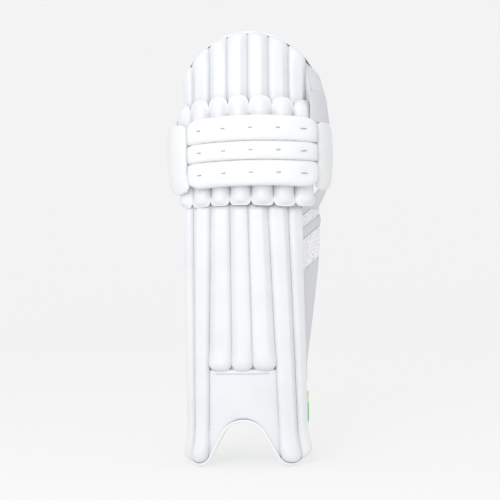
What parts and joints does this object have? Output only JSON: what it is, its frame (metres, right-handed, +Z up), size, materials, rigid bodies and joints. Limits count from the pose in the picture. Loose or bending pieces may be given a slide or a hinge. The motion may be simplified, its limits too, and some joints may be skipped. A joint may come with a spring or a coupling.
{
  "type": "cricket leg pad",
  "caption": "Batting leg pad for the left leg: a padded shin guard of vertical rolls with a knee section of horizontal bolsters, a domed top hat, a side wing and wrap-round straps.",
  "frame": {"origin": "on the axis of the leg that the pad is worn on, level with the lowest point of the pad's feet", "axes": "+Z up the leg, +X to the outer side of the left leg (the viewer's right from the front), -Y to the front, +Y back towards the calf"},
  "size_m": [0.2779, 0.2153, 0.7276],
  "materials": {
    "face_leather": "white grained synthetic leather",
    "knee_leather": "smooth white synthetic leather",
    "panel_leather": "pale grey-white synthetic leather",
    "wing_leather": "pale grey-white synthetic leather and mesh",
    "binding_leather": "white binding tape",
    "edge_leather": "white synthetic leather",
    "lining_fabric": "pale grey brushed fabric",
    "board": "stiff foam board",
    "foam": "closed-cell foam",
    "cane": "split cane",
    "hook_and_loop": "hook-and-loop tape",
    "webbing": "woven webbing",
    "strap_fabric": "white strap with green stripes",
    "ring_steel": "plated steel"
  },
  "bodies": {
    "shin": {"ankle_loop_patch": "hook_and_loop", "ankle_pad": "lining_fabric", "ankle_ring_tab": "webbing", "ankle_strap": "strap_fabric", "bottom_binding": "binding_leather", "calf_bolster_lateral": "lining_fabric", "calf_bolster_medial": "lining_fabric", "calf_loop_patch": "hook_and_loop", "calf_ring_tab": "webbing", "calf_strap": "strap_fabric", "inner_edge_flap": "edge_leather", "instep_panel": "panel_leather", "outer_edge_flap": "edge_leather", "outer_wing": "wing_leather", "shin_board": "board", "shin_canes_middle": "cane", "shin_canes_side": "cane", "shin_face_cover": "face_leather", "shin_lining": "lining_fabric", "shin_roll_1": "foam", "shin_roll_2": "foam", "shin_roll_3": "foam", "shin_roll_4": "foam", "shin_roll_5": "foam", "shin_roll_6": "foam", "shin_roll_7": "foam", "shin_sponge": "foam"},
    "knee": {"knee_board": "board", "knee_bolster_lower": "knee_leather", "knee_bolster_middle": "knee_leather", "knee_bolster_upper": "knee_leather", "knee_cup_lower": "lining_fabric", "knee_cup_upper": "lining_fabric", "knee_flap_inner": "edge_leather", "knee_flap_outer": "edge_leather", "knee_foam_rolls": "foam", "knee_lining": "lining_fabric", "knee_loop_patch": "hook_and_loop", "knee_ring_tab": "webbing", "knee_sponge": "foam", "knee_strap": "strap_fabric", "knee_under_cover": "face_leather", "knee_wrap_lateral": "knee_leather", "knee_wrap_medial": "knee_leather"},
    "top": {"top_binding": "binding_leather", "top_board": "board", "top_cover": "face_leather", "top_foam_rolls": "foam", "top_lining": "lining_fabric", "top_sponge": "foam"},
    "ankle_flap": {"ankle_strap_end": "strap_fabric", "ankle_hook_patch": "hook_and_loop"},
    "ankle_buckle": {"ankle_ring": "ring_steel"},
    "calf_flap": {"calf_strap_end": "strap_fabric", "calf_hook_patch": "hook_and_loop"},
    "calf_buckle": {"calf_ring": "ring_steel"},
    "knee_flap": {"knee_strap_end": "strap_fabric", "knee_hook_patch": "hook_and_loop"},
    "knee_buckle": {"knee_ring": "ring_steel"}
  },
  "joints": [
    {"name": "knee_flex", "type": "hinge", "parent": "shin", "child": "knee", "pos_m": [0, -0.06, 0.4415], "axis": [-1, 0, 0], "range_deg": [0, 12], "stiffness_Nm_per_rad": 20},
    {"name": "top_flex", "type": "hinge", "parent": "knee", "child": "top", "pos_m": [0, -0.064, 0.589], "axis": [-1, 0, 0], "range_deg": [0, 12], "stiffness_Nm_per_rad": 15},
    {"name": "ankle_strap_peel", "type": "hinge", "parent": "shin", "child": "ankle_flap", "pos_m": [-0.0968, 0.0104, 0.085], "axis": [0, 0, 1], "range_deg": [0, 110]},
    {"name": "ankle_ring_swivel", "type": "hinge", "parent": "shin", "child": "ankle_buckle", "pos_m": [-0.092, -0.005, 0.085], "axis": [0, 0, 1], "range_deg": [-2.5, 2.5]},
    {"name": "calf_strap_peel", "type": "hinge", "parent": "shin", "child": "calf_flap", "pos_m": [-0.0968, 0.0104, 0.286], "axis": [0, 0, 1], "range_deg": [0, 110]},
    {"name": "calf_ring_swivel", "type": "hinge", "parent": "shin", "child": "calf_buckle", "pos_m": [-0.092, -0.005, 0.286], "axis": [0, 0, 1], "range_deg": [-2.5, 2.5]},
    {"name": "knee_strap_peel", "type": "hinge", "parent": "knee", "child": "knee_flap", "pos_m": [-0.1148, 0.0354, 0.557], "axis": [0, 0, 1], "range_deg": [0, 110]},
    {"name": "knee_ring_swivel", "type": "hinge", "parent": "knee", "child": "knee_buckle", "pos_m": [-0.11, 0.02, 0.557], "axis": [0, 0, 1], "range_deg": [-2.5, 2.5]}
  ]
}
